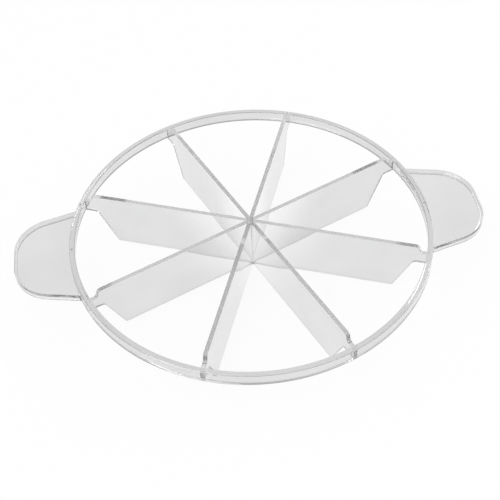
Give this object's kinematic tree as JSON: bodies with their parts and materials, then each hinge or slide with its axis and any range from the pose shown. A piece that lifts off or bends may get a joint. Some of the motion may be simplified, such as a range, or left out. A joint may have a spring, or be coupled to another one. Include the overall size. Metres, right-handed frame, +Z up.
{
  "type": "cake divider",
  "caption": "Clear plastic cake divider: a low rim ring with radial marking blades on a hub post and two flat handles, pressed onto a cake to mark even slices.",
  "frame": {"origin": "under the middle of the hub, on the surface that the blades' marking edges stand on", "axes": "+Z up from the marking edges to the blade tops, +X through the right handle, +Y to the back"},
  "size_m": [0.35, 0.27, 0.046],
  "materials": {
    "rim_plastic": "clear gloss",
    "blade_plastic": "clear gloss",
    "handle_plastic": "clear gloss"
  },
  "bodies": {
    "root": {"rim_ring": "rim_plastic", "hub_post": "blade_plastic", "blade_1": "blade_plastic", "blade_2": "blade_plastic", "blade_3": "blade_plastic", "blade_4": "blade_plastic", "blade_5": "blade_plastic", "blade_6": "blade_plastic", "blade_7": "blade_plastic", "blade_8": "blade_plastic", "handle_left": "handle_plastic", "handle_right": "handle_plastic"}
  },
  "joints": []
}
